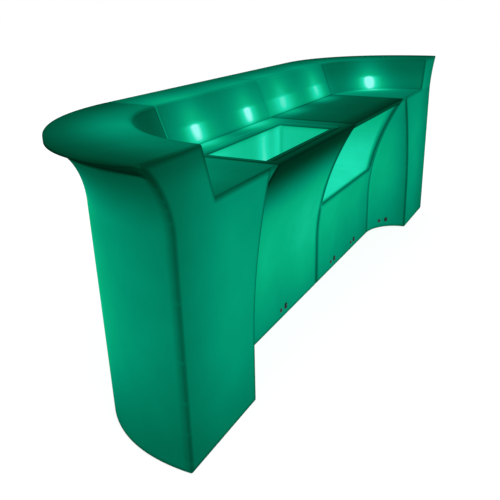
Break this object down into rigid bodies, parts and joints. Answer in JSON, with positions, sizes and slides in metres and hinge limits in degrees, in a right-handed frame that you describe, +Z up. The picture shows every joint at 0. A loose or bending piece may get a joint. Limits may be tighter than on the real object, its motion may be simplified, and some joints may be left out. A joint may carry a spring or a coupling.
{
  "type": "lit bar counter",
  "caption": "Straight bar counter with rounded ends, a flat customers' ledge above a server's shelf, an ice well, a storage niche and light tubes inside its hollow glowing plastic shells.",
  "frame": {"origin": "on the floor, in the middle of the whole bar's length and depth", "axes": "+X along the bar, to the right as the server's side is seen from the front; +Y from the server's side to the customers' side; +Z up"},
  "size_m": [3.536, 0.797, 1.1],
  "materials": {
    "shell": "translucent rotation-moulded polyethylene, lit from inside in green",
    "plate": "moulded sheet",
    "seal": "foam rubber",
    "steel": "zinc-plated strip with welded studs",
    "holder": "moulded nylon",
    "tube": "frosted acrylic, lit",
    "core": "drawn bar",
    "battery": "moulded, fine grain",
    "control": "moulded, fine grain",
    "button": "moulded",
    "flap": "moulded rubber"
  },
  "bodies": {
    "bar": {"left_end_shell": "shell", "left_end_base_plate": "plate", "left_end_base_seal": "seal", "left_centre_shell": "shell", "left_centre_base_plate": "plate", "left_centre_base_seal": "seal", "right_centre_shell": "shell", "right_centre_base_plate": "plate", "right_centre_base_seal": "seal", "right_end_shell": "shell", "right_end_base_plate": "plate", "right_end_base_seal": "seal", "left_seam_strap": "steel", "centre_seam_strap": "steel", "right_seam_strap": "steel", "left_end_tube_holder": "holder", "left_end_light_tube": "tube", "left_end_light_core": "core", "left_outer_tube_holder": "holder", "left_outer_light_tube": "tube", "left_outer_light_core": "core", "left_inner_tube_holder": "holder", "left_inner_light_tube": "tube", "left_inner_light_core": "core", "right_inner_tube_holder": "holder", "right_inner_light_tube": "tube", "right_inner_light_core": "core", "right_outer_tube_holder": "holder", "right_outer_light_tube": "tube", "right_outer_light_core": "core", "right_end_tube_holder": "holder", "right_end_light_tube": "tube", "right_end_light_core": "core", "left_end_battery_box": "battery", "left_end_switch_body": "control", "left_end_charge_socket": "control", "left_centre_battery_box": "battery", "left_centre_switch_body": "control", "left_centre_charge_socket": "control", "right_centre_battery_box": "battery", "right_centre_switch_body": "control", "right_centre_charge_socket": "control", "right_outer_battery_box": "battery", "right_outer_switch_body": "control", "right_outer_charge_socket": "control", "right_end_battery_box": "battery", "right_end_switch_body": "control", "right_end_charge_socket": "control"},
    "left_end_push_button": {"left_end_push_button": "button"},
    "left_end_charge_flap": {"left_end_charge_flap": "flap"},
    "left_centre_push_button": {"left_centre_push_button": "button"},
    "left_centre_charge_flap": {"left_centre_charge_flap": "flap"},
    "right_centre_push_button": {"right_centre_push_button": "button"},
    "right_centre_charge_flap": {"right_centre_charge_flap": "flap"},
    "right_outer_push_button": {"right_outer_push_button": "button"},
    "right_outer_charge_flap": {"right_outer_charge_flap": "flap"},
    "right_end_push_button": {"right_end_push_button": "button"},
    "right_end_charge_flap": {"right_end_charge_flap": "flap"}
  },
  "joints": [
    {"name": "left_end_button_push", "type": "slide", "parent": "bar", "child": "left_end_push_button", "axis": [-0.7463, 0.6656, 0], "range_m": [0, 0.002], "stiffness_N_per_m": 800, "springref_m": -0.0015},
    {"name": "left_end_flap_hinge", "type": "hinge", "parent": "bar", "child": "left_end_charge_flap", "pos_m": [-1.05289, -0.24477, 0.0645], "axis": [-0.8245, -0.5659, 0], "range_deg": [0, 110]},
    {"name": "left_centre_button_push", "type": "slide", "parent": "bar", "child": "left_centre_push_button", "axis": [0, 1, 0], "range_m": [0, 0.002], "stiffness_N_per_m": 800, "springref_m": -0.0015},
    {"name": "left_centre_flap_hinge", "type": "hinge", "parent": "bar", "child": "left_centre_charge_flap", "pos_m": [-0.419, -0.2031, 0.0645], "axis": [-1, 0, 0], "range_deg": [0, 110]},
    {"name": "right_centre_button_push", "type": "slide", "parent": "bar", "child": "right_centre_push_button", "axis": [0, 1, 0], "range_m": [0, 0.002], "stiffness_N_per_m": 800, "springref_m": -0.0015},
    {"name": "right_centre_flap_hinge", "type": "hinge", "parent": "bar", "child": "right_centre_charge_flap", "pos_m": [0.276, -0.2031, 0.0645], "axis": [-1, 0, 0], "range_deg": [0, 110]},
    {"name": "right_outer_button_push", "type": "slide", "parent": "bar", "child": "right_outer_push_button", "axis": [0, 1, 0], "range_m": [0, 0.002], "stiffness_N_per_m": 800, "springref_m": -0.0015},
    {"name": "right_outer_flap_hinge", "type": "hinge", "parent": "bar", "child": "right_outer_charge_flap", "pos_m": [0.631, -0.2031, 0.0645], "axis": [-1, 0, 0], "range_deg": [0, 110]},
    {"name": "right_end_button_push", "type": "slide", "parent": "bar", "child": "right_end_push_button", "axis": [0.5659, 0.8245, 0], "range_m": [0, 0.002], "stiffness_N_per_m": 800, "springref_m": -0.0015},
    {"name": "right_end_flap_hinge", "type": "hinge", "parent": "bar", "child": "right_end_charge_flap", "pos_m": [1.09114, -0.27832, 0.0645], "axis": [-0.6656, 0.7463, 0], "range_deg": [0, 110]}
  ]
}
